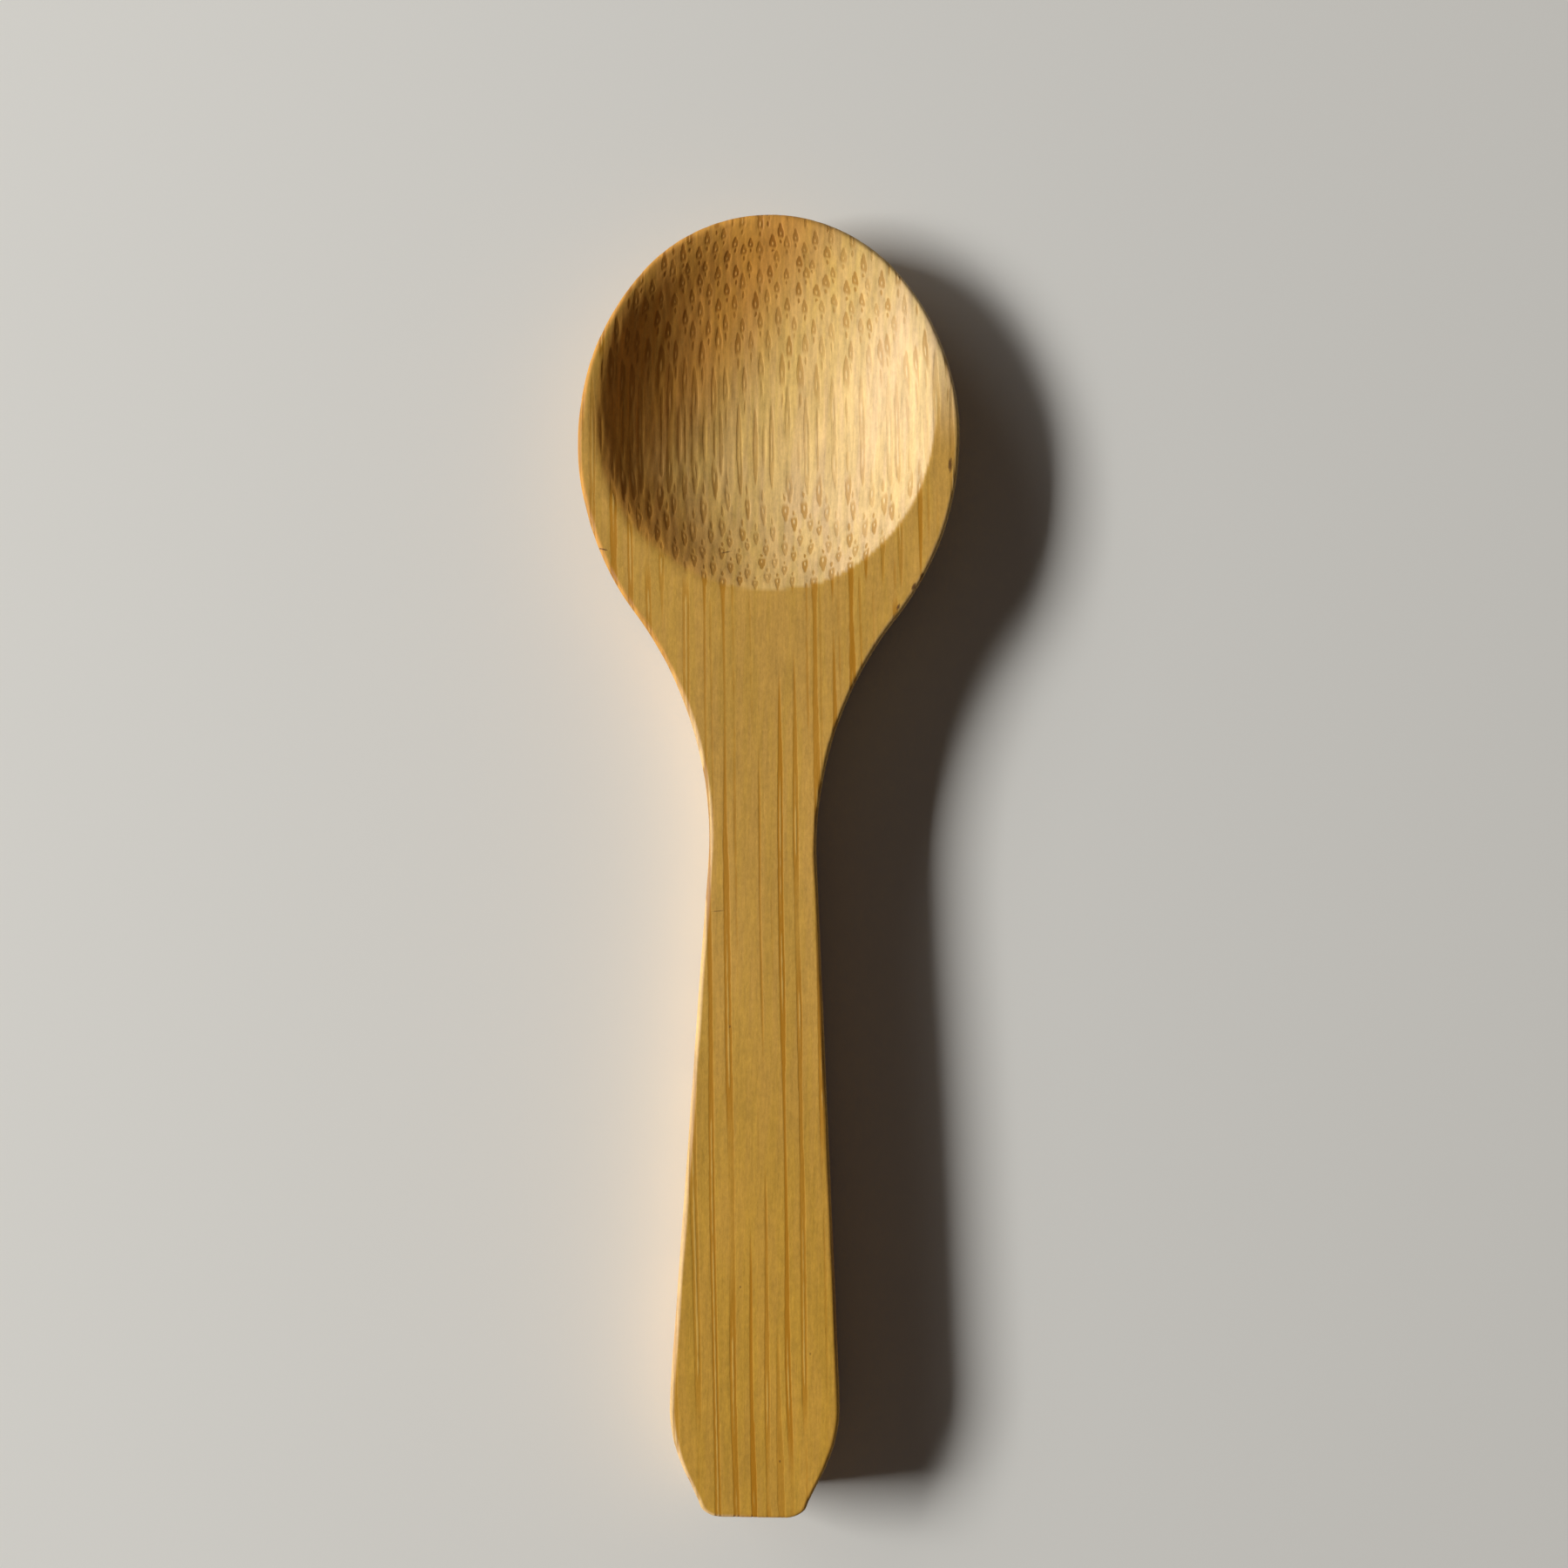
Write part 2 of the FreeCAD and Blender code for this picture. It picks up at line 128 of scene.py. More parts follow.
def outline_cuts():
    """The right half's outline from the tip to the end: arcs, and one straight side."""
    reach = math.hypot(HALF_BOWL, TIP_TO_WIDEST)
    excess = (TIP_TO_WIDEST - HALF_BOWL) * reach
    tip_radius = (reach ** 2 - excess) / (2 * TIP_TO_WIDEST)
    side_radius = (reach ** 2 + excess) / (2 * HALF_BOWL)
    joint = math.atan2(HALF_BOWL, TIP_TO_WIDEST)
    widest_y = HALF_LENGTH - TIP_TO_WIDEST
    neck_y = HALF_LENGTH - TIP_TO_NECK
    heel = (HALF_BOWL - HEEL_RADIUS, widest_y)
    gap = HALF_NECK - heel[0]
    drop = widest_y - neck_y
    neck_radius = (gap ** 2 + drop ** 2 - HEEL_RADIUS ** 2) / (2 * (HEEL_RADIUS - gap))
    neck = (HALF_NECK + neck_radius, neck_y)
    heel_joint = angle_of(heel, neck)
    butt = (HALF_BUTT - BUTT_RADIUS, END_TO_BUTT - HALF_LENGTH)
    turn = angle_of(butt, neck) - math.acos((neck_radius + BUTT_RADIUS) / math.dist(neck, butt))
    inner = BUTT_RADIUS - CORNER_RADIUS
    corner_x = butt[0] + math.sqrt(inner ** 2 - (END_TO_BUTT - CORNER_RADIUS) ** 2)
    corner = (corner_x, CORNER_RADIUS - HALF_LENGTH)
    corner_joint = angle_of(butt, corner)
    return [
        ("round", (0.0, HALF_LENGTH - tip_radius), tip_radius, math.pi / 2, joint, 0.3),
        ("round", (HALF_BOWL - side_radius, widest_y), side_radius, joint, 0.0, 0.3),
        ("round", heel, HEEL_RADIUS, 0.0, heel_joint, 0.32),
        ("hollow", neck, neck_radius, heel_joint + math.pi, math.pi + turn, 0.42),
        ("straight", on_circle(neck, neck_radius, math.pi + turn),
         on_circle(butt, BUTT_RADIUS, turn), 0.6),
        ("round", butt, BUTT_RADIUS, turn, corner_joint, 0.32),
        ("round", corner, CORNER_RADIUS, corner_joint, -math.pi / 2, 0.14),
    ]


CUTS = outline_cuts()


def outline_rows():
    """Half widths and their places along the spoon, evenly spaced round the outline."""
    points = []
    for cut in CUTS:
        if cut[0] == "straight":
            count = math.ceil(math.dist(cut[1], cut[2]) / cut[3])
            share = np.arange(count)[:, None] / count
            points.append(np.array(cut[1]) * (1 - share) + np.array(cut[2]) * share)
        else:
            centre, radius, start, end, step = cut[1:]
            count = math.ceil(abs(end - start) * radius / step)
            angle = start + (end - start) * np.arange(count) / count
            points.append(np.stack([centre[0] + radius * np.cos(angle),
                                    centre[1] + radius * np.sin(angle)], axis=1))
    last = CUTS[-1]
    points.append(np.array([[last[1][0], -HALF_LENGTH]]))
    rows = np.concatenate(points)
    rows[0, 0] = 0.0
    return rows[:, 0], rows[:, 1]


# How far past its ends a cut still counts, so that no point falls between two cuts
LENGTH_SPARE = 0.01
ANGLE_SPARE = 0.002


def distance_inside(x, y):
    """How far each point of the plan lies inside the outline."""
    side = np.abs(x)
    nearest = y + HALF_LENGTH
    for cut in CUTS:
        if cut[0] == "straight":
            start, end = np.array(cut[1]), np.array(cut[2])
            run = (end - start) / np.linalg.norm(end - start)
            along = (side - start[0]) * run[0] + (y - start[1]) * run[1]
            across = (side - start[0]) * run[1] - (y - start[1]) * run[0]
            length = np.linalg.norm(end - start)
            beside = (along > -LENGTH_SPARE) & (along < length + LENGTH_SPARE)
            found = np.abs(across)
        else:
            kind, centre, radius, start, end = cut[:5]
            angle = np.arctan2(y - centre[1], side - centre[0])
            if kind == "hollow":
                angle = np.where(angle < 0, angle + 2 * math.pi, angle)
            low, high = min(start, end), max(start, end)
            beside = (angle > low - ANGLE_SPARE) & (angle < high + ANGLE_SPARE)
            reach = np.hypot(side - centre[0], y - centre[1])
            found = reach - radius if kind == "hollow" else radius - reach
        nearest = np.where(beside, np.minimum(nearest, np.maximum(found, 0.0)), nearest)
    return nearest


def rim_distance(x, y):
    """The same for a grid of points, with nothing left over at the rim itself."""
    inside = distance_inside(x, y)
    inside[:, 0] = 0.0
    inside[:, -1] = 0.0
    inside[-1, :] = 0.0
    return inside


def rounded_off(distance, ease):
    """How much a rounded edge takes off, this far inside the outline."""
    left = np.clip(ease - distance, 0.0, ease)
    return ease - np.sqrt(np.maximum(ease ** 2 - left ** 2, 0.0))


def back_height(x, y):
    """Height of the underside: a flat strip to rest on, and the bowl's round back."""
    back_y = HALF_LENGTH - TIP_TO_BACK
    past = np.maximum(y - back_y, 0.0)
    out = np.maximum(np.hypot(x, past) - STRIP_HALF, 0.0)
    out = np.where(y > HALF_LENGTH - TIP_TO_NECK, out, 0.0)
    return BACK_RADIUS - np.sqrt(BACK_RADIUS ** 2 - out ** 2)


def top_line(y):
    """Height of the top face along the spoon: level, a bend, and a droop to the tip."""
    back_reach = TIP_TO_BACK - STRIP_HALF
    tip_height = BACK_RADIUS - math.sqrt(BACK_RADIUS ** 2 - back_reach ** 2) + LIP
    bend_y = HALF_LENGTH - TIP_TO_BEND
    fall = tip_height - SLAT
    chord = math.hypot(TIP_TO_BEND, fall)
    depth = math.sqrt(DROOP_RADIUS ** 2 - (chord / 2) ** 2)
    droop = (bend_y + TIP_TO_BEND / 2 - depth * fall / chord,
             SLAT + fall / 2 + depth * TIP_TO_BEND / chord)
    bend_z = SLAT - BEND_RADIUS
    both = DROOP_RADIUS + BEND_RADIUS
    bend = (droop[0] - math.sqrt(both ** 2 - (droop[1] - bend_z) ** 2), bend_z)
    joint = angle_of(bend, droop)
    joint_y = bend[0] + BEND_RADIUS * math.cos(joint)
    bent = bend[1] + np.sqrt(np.maximum(BEND_RADIUS ** 2 - (y - bend[0]) ** 2, 0.0))
    drooped = droop[1] - np.sqrt(DROOP_RADIUS ** 2 - (y - droop[0]) ** 2)
    height = np.where(y < joint_y, bent, drooped)
    return np.where(y < bend[0], SLAT, height)


def dish_height(x, y):
    """Height of the hollow: a round bottom, and a wall that carries on straight. It is
    a little longer along the grain than across it."""
    middle = HALF_LENGTH - TIP_TO_DISH - DISH_STRETCH / 2
    past = np.maximum(np.abs(y - middle) - DISH_STRETCH / 2, 0.0)
    reach = np.hypot(x, past)
    round_reach = np.minimum(reach, DISH_ROUND)
    bottom = DISH_FLOOR + DISH_RADIUS - np.sqrt(DISH_RADIUS ** 2 - round_reach ** 2)
    slope = DISH_ROUND / math.sqrt(DISH_RADIUS ** 2 - DISH_ROUND ** 2)
    return bottom + (reach - round_reach) * slope


def smooth_step(value, low, high):
    share = np.clip((value - low) / (high - low), 0.0, 1.0)
    return share * share * (3 - 2 * share)


def hand_waver(y, start, size):
    """The small drift of a knife or sanding block along the spoon, from 0 to size."""
    wave = np.sin(y * 0.31 + start) + 0.6 * np.sin(y * 0.73 + 2.1 * start)
    wave += 0.35 * np.sin(y * 1.57 + 3.7 * start)
    return size * (1.95 + wave) / 3.9


def top_height(x, y, distance):
    """Height of the upper side, and how much of it the carving has laid bare, with the left edge
    made barer than the right as painted light.
    """
    ease = np.interp(y, EASE_AT, TOP_EASE)
    ease = ease * (1.0 + EASE_WAVER * np.sin(y * 0.9 + np.sign(x)))
    outer = top_line(y) - rounded_off(distance, ease)
    outer = outer - DIP * np.exp(-((y - DIP_AT) / DIP_REACH) ** 2)
    rolling = 1 + np.sin(x * 0.55 + y * 0.12)
    outer = outer - FACE_WAVER * smooth_step(distance, 0.0, 1.5) * rolling
    dish = dish_height(x, y) + FACE_WAVER * np.sin(x * 0.7 + 1.0) * np.sin(y * 0.45)
    left_side = smooth_step(-x, -2.0, 9.0)
    torn = np.sin(7.3 * x + 1.7 * np.sin(1.1 * y))
    torn = torn + np.sin(11.9 * x + 2.3 * np.sin(0.8 * y) + 1.0)
    dish = dish + TORN * torn * left_side
    leftward = 0.6 * np.maximum(y - 30.0, 0.0) + 0.15 * np.minimum(y - 30.0, 0.0) - x
    dish = dish - LEFT_CUT * smooth_step(leftward, 5.0, 12.0)
    near_tip = smooth_step(y + 0.35 * x, 32.0, 40.0)
    soft = CRISP + LEFT_SOFT * left_side + TIP_SOFT * near_tip
    near = np.maximum(soft - np.abs(outer - dish), 0.0) / soft
    height = np.minimum(outer, dish) - near ** 2 * soft / 4
    bare = smooth_step(outer - dish, -0.5 * soft, 0.3 * soft)
    bare = np.maximum(bare, near_tip)
    sanded = smooth_step(ease - distance, -0.05, 0.12)
    # The sanded edge counts as fully bare on the left, which faces the window, and only partly on
    # the right: painted light
    bare = np.maximum(bare, sanded * np.where(x < 0, 1.0, 0.3))
    return height, bare


# The spoon's mesh: rows across it from the tip to the end

def column_shares():
    """Places across a row, from -1 to 1, closer together at the two edges."""
    inner = np.linspace(EDGE_SHARE - 1, 1 - EDGE_SHARE, TOP_COLUMNS - 2 * EDGE_COLUMNS + 1)
    edge = 1 - EDGE_SHARE * (np.arange(EDGE_COLUMNS) / EDGE_COLUMNS) ** 1.6
    return np.concatenate([-edge, inner, edge[::-1]])


class MeshParts:
    """Points with what the finish needs to know of them, and the faces between them."""

    def __init__(self):
        self.points = []
        self.bare = []
        self.grooved = []
        self.faces = []
        self.count = 0

    def add(self, x, y, z, bare, grooved):
        x, y, z, bare, grooved = np.broadcast_arrays(x, y, z, bare, grooved)
        self.points.append(np.stack([x.ravel(), y.ravel(), z.ravel()], axis=1))
        self.bare.append(bare.ravel())
        self.grooved.append(grooved.ravel())
        numbers = self.count + np.arange(x.size).reshape(x.shape)
        self.count += x.size
        return numbers

    def face(self, *corners):
        kept = []
        for corner in corners:
            corner = int(corner)
            if corner not in kept:
                kept.append(corner)
        if len(kept) > 2:
            self.faces.append(kept)

    def grid(self, numbers):
        """Faces between the rows of a grid, the first row towards the tip."""
        for above, below in zip(numbers[:-1], numbers[1:]):
            for place in range(len(above) - 1):
                self.face(above[place], below[place], below[place + 1], above[place + 1])


def carve_spoon():
    """The whole spoon as one closed skin."""
    half_width, row_y = outline_rows()
    parts = MeshParts()
    width, along = half_width[1:, None], row_y[1:, None]

    top_x = width * column_shares()[None, :]
    top_y = np.broadcast_to(along, top_x.shape)
    top_z, bare = top_height(top_x, top_y, rim_distance(top_x, top_y))
    top = parts.add(top_x, top_y, top_z, bare, 1.0)

    low_x = width * np.linspace(-1, 1, BOTTOM_COLUMNS + 1)[None, :]
    low_y = np.broadcast_to(along, low_x.shape)
    low_z = back_height(low_x, low_y) + rounded_off(rim_distance(low_x, low_y), BOTTOM_EASE)
    low = parts.add(low_x, low_y, low_z, 0.0, smooth_step(low_z, 0.05, 0.6))

    share = np.arange(1, WALL_STEPS)[None, :] / WALL_STEPS

    def wall(side):
        upper, lower = top_z[:, side][:, None], low_z[:, side][:, None]
        height = upper * (1 - share) + lower * share
        middle = parts.add(top_x[:, side][:, None], along, height, WALL_BARE, WALL_GROOVED)
        return np.concatenate([top[:, side][:, None], middle, low[:, side][:, None]], axis=1)

    left, right = wall(0), wall(-1)

    tip_x, tip_y = np.array([0.0]), np.array([HALF_LENGTH])
    tip_top = top_height(tip_x, tip_y, np.array([0.0]))[0]
    tip_low = back_height(tip_x, tip_y) + BOTTOM_EASE
    tip_share = np.arange(WALL_STEPS + 1) / WALL_STEPS
    tip_z = tip_top * (1 - tip_share) + tip_low * tip_share
    tip = parts.add(0.0, tip_y, tip_z, WALL_BARE, WALL_GROOVED)

    parts.grid(np.concatenate([np.full((1, top.shape[1]), tip[0]), top]))
    parts.grid(np.concatenate([np.full((1, low.shape[1]), tip[-1]), low])[:, ::-1])
    parts.grid(np.concatenate([tip[None, :], right]))
    parts.grid(np.concatenate([tip[None, :], left])[:, ::-1])

    # the end is cut square, so its face joins the last row above to the one below
    end_x = low_x[-1][1:-1]
    upper = np.interp(end_x, top_x[-1], top_z[-1])
    end_share = share[0][:, None]
    end_z = upper[None, :] * (1 - end_share) + low_z[-1][1:-1][None, :] * end_share
    middle = parts.add(end_x[None, :], -HALF_LENGTH, end_z, WALL_BARE, WALL_GROOVED)
    middle = np.concatenate([left[-1, 1:-1][:, None], middle, right[-1, 1:-1][:, None]], axis=1)
    parts.grid(np.concatenate([middle, low[-1][None, :]]))
    step = TOP_COLUMNS // BOTTOM_COLUMNS
    for place in range(BOTTOM_COLUMNS):
        above = top[-1, place * step:(place + 1) * step + 1]
        parts.face(*above[::-1], middle[0, place], middle[0, place + 1])

    points = np.concatenate(parts.points)
    points[:, 0] *= np.interp(points[:, 1], TRIM_AT, END_TRIM)
    points[:, 1] -= TIP_TRIM * smooth_step(points[:, 1], TRIM_FROM, HALF_LENGTH)
    for sign, start in ((1, 0.4), (-1, 1.9)):
        drift = 1.0 - hand_waver(points[:, 1], start, SIDE_WAVER)
        points[:, 0] *= np.where(points[:, 0] * sign > 0, drift, 1.0)
    return points, parts


def make_piece(name, points, parts):
    mesh = bpy.data.meshes.new(name)
    mesh.from_pydata((points * MM).tolist(), [], parts.faces)
    for label, values in (("bare_wood_and_lit_edge", parts.bare), ("grooved", parts.grooved)):
        layer = mesh.attributes.new(label, "FLOAT", "POINT")
        layer.data.foreach_set("value", np.concatenate(values).astype(np.float32))
    mesh.validate()
    mesh.update()
    piece = bpy.data.objects.new(name, mesh)
    bpy.context.scene.collection.objects.link(piece)
    return piece


# Small helpers that put nodes in a tree

def put(tree, value, socket):
    """Joins another node's output to an input, or sets the input's own value."""
    if isinstance(value, bpy.types.NodeSocket):
        tree.links.new(value, socket)
    else:
        socket.default_value = value


def node(tree, kind, inputs=None, **settings):
    made = tree.nodes.new(kind)
    for label, value in settings.items():
        setattr(made, label, value)
    for key, value in (inputs or {}).items():
        put(tree, value, made.inputs[key])
    return made


def work(tree, operation, *values):
    made = node(tree, "ShaderNodeMath", dict(enumerate(values)), operation=operation)
    return made.outputs[0]


def vector_work(tree, operation, *values):
    made = node(tree, "ShaderNodeVectorMath", operation=operation)
    for place, value in enumerate(values):
        socket = made.inputs["Scale"] if operation == "SCALE" and place == 1 else made.inputs[place]
        put(tree, value, socket)
    return made.outputs[0]


def soft_ramp(tree, value, start, end, first=0.0, last=1.0):
    """Turns a value between start and end smoothly into one between first and last."""
    made = node(tree, "ShaderNodeMapRange", interpolation_type="SMOOTHSTEP")
    for label, entry in (("Value", value), ("From Min", start), ("From Max", end),
                         ("To Min", first), ("To Max", last)):
        put(tree, entry, made.inputs[label])
    return made.outputs["Result"]


def noise(tree, place, stretch, detail=2.0, rough=0.5, shift=0.0):
    """Noise whose grains are as many to the millimetre as stretch says, on each axis."""
    moved = vector_work(tree, "MULTIPLY", place, stretch)
    moved = vector_work(tree, "ADD", moved, (shift, shift * 0.7, shift * 1.3))
    made = node(tree, "ShaderNodeTexNoise",
                {"Vector": moved, "Scale": 1.0, "Detail": detail, "Roughness": rough},
                noise_dimensions="3D")
    return made


def swing(tree, value, size):
    """A noise's value, from 0 to 1, made a swing to either side of nothing."""
    return work(tree, "MULTIPLY", work(tree, "SUBTRACT", value, 0.5), size)


def tint(tree, amount, first, second):
    """A colour between two colours."""
    made = node(tree, "ShaderNodeMix", data_type="RGBA", blend_type="MIX")
    put(tree, amount, made.inputs[0])
    put(tree, first, made.inputs[6])
    put(tree, second, made.inputs[7])
    return made.outputs[2]


# The figure of bamboo: fibre bundles in staggered rows, running along the spoon

BUNDLE_GAP = 1.25
ROW_GAP = 0.71
BUNDLE_RADIUS = 0.18
BUNDLE_TALL = 1.3
SCATTER = 0.42

# How the fibres lean across the spoon, sink towards its tip, droop in the bowl and drift
GRAIN_LEAN = 0.03
GRAIN_SINK = 0.009
DROOP_FROM = 18.0
GRAIN_DROOP = 0.005
DRIFT_ACROSS = 0.6
DRIFT_DOWN = 1.3

# How deep the dark fibres and the sanding marks lie
RELIEF = {"Groove depth": 0.02, "Fibre depth": 0.012}


def distance_from(tree, aside, above, centre):
    """Distance from a point on a bundle's upright middle line, this far up it."""
    risen = work(tree, "SUBTRACT", above, centre)
    return work(tree, "SQRT", work(tree, "MULTIPLY_ADD", aside, aside,
                                   work(tree, "MULTIPLY", risen, risen)))


def fibre_bundles(tree, place, bare):
    """Where a point lies in its bundle: the dark sheath, the pale core, and the luck of
    the bundle. Each bundle is an arch of dark fibre round a pale core, with one more
    dark strand under its open side."""
    x, y, z = node(tree, "ShaderNodeSeparateXYZ", {0: place}).outputs
    drift = noise(tree, place, (0.3, 0.035, 0.3), detail=1.0).outputs["Color"]
    drift = node(tree, "ShaderNodeSeparateXYZ", {0: drift}).outputs
    across = work(tree, "MULTIPLY_ADD", y, GRAIN_LEAN, x)
    across = work(tree, "MULTIPLY_ADD", drift[0], DRIFT_ACROSS, across)
    depth = work(tree, "MULTIPLY_ADD", y, GRAIN_SINK, z)
    in_bowl = work(tree, "MAXIMUM", work(tree, "SUBTRACT", y, DROOP_FROM), 0.0)
    in_bowl = work(tree, "MULTIPLY", in_bowl, in_bowl)
    depth = work(tree, "MULTIPLY_ADD", in_bowl, GRAIN_DROOP, depth)
    depth = work(tree, "MULTIPLY_ADD", drift[1], DRIFT_DOWN, depth)
    along_row = work(tree, "DIVIDE", across, BUNDLE_GAP)
    down_rows = work(tree, "DIVIDE", depth, 2 * ROW_GAP)
    first = work(tree, "ADD", along_row, down_rows)
    second = work(tree, "SUBTRACT", along_row, down_rows)
    lattice = node(tree, "ShaderNodeCombineXYZ", {0: first, 1: second}).outputs[0]
    cells = node(tree, "ShaderNodeTexVoronoi",
                 {"Vector": lattice, "Scale": 1.0, "Randomness": SCATTER},
                 voronoi_dimensions="2D", feature="F1")
    away = vector_work(tree, "SUBTRACT", lattice, cells.outputs["Position"])
    away = node(tree, "ShaderNodeSeparateXYZ", {0: away}).outputs
    luck = node(tree, "ShaderNodeSeparateXYZ", {0: cells.outputs["Color"]}).outputs
    radius = work(tree, "MULTIPLY_ADD", luck[0], BUNDLE_RADIUS / 3, BUNDLE_RADIUS)
    aside = work(tree, "MULTIPLY", work(tree, "ADD", away[0], away[1]), BUNDLE_GAP / 2)
    above = work(tree, "MULTIPLY", work(tree, "SUBTRACT", away[0], away[1]), ROW_GAP)
    aside = work(tree, "DIVIDE", aside, radius)
    tall = work(tree, "MULTIPLY_ADD", bare, 0.15, BUNDLE_TALL)
    tall = work(tree, "MULTIPLY", radius, tall)
    above = work(tree, "DIVIDE", above, tall)
    ragged = noise(tree, place, (4.0, 0.9, 4.0), detail=2.0, shift=7.0).outputs[0]
    ragged = swing(tree, ragged, 0.5)
    reach = work(tree, "ADD", distance_from(tree, aside, above, 0.0), ragged)
    ring = work(tree, "ABSOLUTE", work(tree, "SUBTRACT", reach, 0.62))
    ring = soft_ramp(tree, ring, 0.5, 0.25)
    arch = work(tree, "MULTIPLY", ring, soft_ramp(tree, above, -0.8, -0.3, 0.1, 1.0))
    crown = soft_ramp(tree, distance_from(tree, aside, above, 0.8), 0.75, 0.35)
    strand = work(tree, "ADD", distance_from(tree, aside, above, -1.25), ragged)
    strand = work(tree, "MULTIPLY", soft_ramp(tree, strand, 0.55, 0.2),
                  work(tree, "MULTIPLY_ADD", bare, 0.5, 0.5))
    sheath = work(tree, "MAXIMUM", work(tree, "MAXIMUM", arch, crown), strand)
    core = soft_ramp(tree, reach, 0.4, 0.1)
    return sheath, core, luck, x, y, z


def fibre_relief(material):
    """A tree that sinks the dark sheaths and the sanding marks into the wood."""
    tree = bpy.data.node_groups.new("fibre_relief", "GeometryNodeTree")
    face = tree.interface
    face.new_socket("Wood", in_out="INPUT", socket_type="NodeSocketGeometry")
    for label, size in RELIEF.items():
        socket = face.new_socket(label, in_out="INPUT", socket_type="NodeSocketFloat")
        socket.default_value = size
    face.new_socket("Wood", in_out="OUTPUT", socket_type="NodeSocketGeometry")
    given = node(tree, "NodeGroupInput").outputs
    place = node(tree, "GeometryNodeInputPosition").outputs[0]
    place = vector_work(tree, "SCALE", place, 1 / MM)
    bare = node(tree, "GeometryNodeInputNamedAttribute", {"Name": "bare_wood_and_lit_edge"},
                data_type="FLOAT").outputs[0]
    sheath = fibre_bundles(tree, place, bare)[0]
    fibres = noise(tree, place, (2.2, 0.12, 2.2), detail=2.0, shift=3.0).outputs[0]
    groove = work(tree, "MULTIPLY", sheath, given["Groove depth"])
    groove = work(tree, "MULTIPLY", groove, work(tree, "MULTIPLY_ADD", bare, 0.6, 0.4))
    depth = work(tree, "MULTIPLY_ADD", fibres, given["Fibre depth"], groove)
    grooved = node(tree, "GeometryNodeInputNamedAttribute", {"Name": "grooved"},
                   data_type="FLOAT").outputs[0]
    depth = work(tree, "MULTIPLY", work(tree, "MULTIPLY", depth, grooved), -MM)
    outward = node(tree, "GeometryNodeInputNormal").outputs[0]
    moved = node(tree, "GeometryNodeSetPosition",
                 {"Geometry": given["Wood"], "Offset": vector_work(tree, "SCALE", outward, depth)})
    real = node(tree, "GeometryNodeRealizeInstances", {0: moved.outputs[0]})
    finished = node(tree, "GeometryNodeSetMaterial",
                    {"Geometry": real.outputs[0], "Material": material})
    smooth = node(tree, "GeometryNodeSetShadeSmooth", {"Geometry": finished.outputs[0]})
    result = node(tree, "NodeGroupOutput")
    tree.links.new(smooth.outputs[0], result.inputs[0])
    return tree


def worked(piece, tree, sizes):
    """The piece with a tree's work made part of a plain mesh."""
    modifier = piece.modifiers.new(tree.name, "NODES")
    modifier.node_group = tree
    for item in tree.interface.items_tree:
        if item.in_out == "INPUT" and item.name in sizes:
            modifier[item.identifier] = sizes[item.name]
    look = bpy.context.evaluated_depsgraph_get()
    mesh = bpy.data.meshes.new_from_object(piece.evaluated_get(look), depsgraph=look)
    piece.modifiers.remove(modifier)
    piece.data = mesh
    return piece


# Finish: sanded bare bamboo. The slat's own face is golden, carved wood is paler.

FACE_GROUND = (0.60, 0.345, 0.064, 1.0)
END_GROUND = (0.60, 0.335, 0.044, 1.0)
FACE_SHEATH = (0.48, 0.205, 0.008, 1.0)
FACE_CORE = (0.74, 0.47, 0.12, 1.0)
# The shaded brown colours are painted shade for the bowl's left; the lit pale ground and core are
# painted light for its right
SHADED_BROWN_GROUND = (0.62, 0.30, 0.052, 1.0)
SHADED_BROWN_SHEATH = (0.32, 0.12, 0.010, 1.0)
SHADED_BROWN_CORE = (0.74, 0.44, 0.13, 1.0)
GOLD_GROUND = (0.75, 0.50, 0.16, 1.0)
LIT_PALE_GROUND = (0.79, 0.565, 0.275, 1.0)
PALE_SHEATH = (0.49, 0.25, 0.045, 1.0)
LIT_PALE_CORE = (0.88, 0.72, 0.42, 1.0)
YELLOW_STREAK = (1.0, 0.995, 0.92, 1.0)
PINK_STREAK = (1.01, 0.99, 1.06, 1.0)
MARK_COLOUR = (0.11, 0.045, 0.015, 1.0)

# How deep the speckle seems to lie, and how the bare wood mirrors light
BUMP_DEPTH = 0.04
WOOD_IOR = 1.45
WOOD_SHINE = 0.35

# The carved wood is painted brown at the bowl's left, where it lies in shade, over gold, to pale at
# its right, where the light falls on it: painted shade and painted light.
# The turn leans with the place along the spoon, otherwise above the middle than below.
LIGHT_TURN_MIDDLE = 27.3
LIGHT_TURN_ABOVE = -0.7
LIGHT_TURN_BELOW = 0.5
SHADE_FADE_FROM = -11.5
SHADE_FADE_TO = -3.5
LIGHT_FADE_FROM = -5.5
LIGHT_FADE_TO = 3.5

# Where along the spoon the dish runs level with the fibres, whose lines are faint there
FLOOR_MIDDLE = 30.5

# Small cracks, stains and specks: place, half length, half width, turn and strength
MARKS = [
    (-11.25, 21.2, 0.36, 0.05, -0.25, 0.9),
    (-2.86, 21.3, 0.38, 0.05, 0.25, 0.8),
    (12.54, 27.4, 0.5, 0.16, 1.6, 0.85),
    (10.68, 19.74, 0.22, 0.1, 1.2, 0.8),
    (10.1, 18.95, 0.3, 0.12, 1.1, 0.85),
    (9.04, 17.5, 0.25, 0.12, 1.2, 0.9),
    (-3.0, -3.5, 0.45, 0.05, 0.1, 0.5),
    (-2.06, -11.4, 0.12, 0.07, 1.5, 0.6),
    (-1.09, -29.2, 0.1, 0.07, 1.5, 0.6),
    (1.77, -41.1, 0.1, 0.08, 1.5, 0.6),
    (3.75, -33.7, 0.1, 0.06, 1.5, 0.6),
]


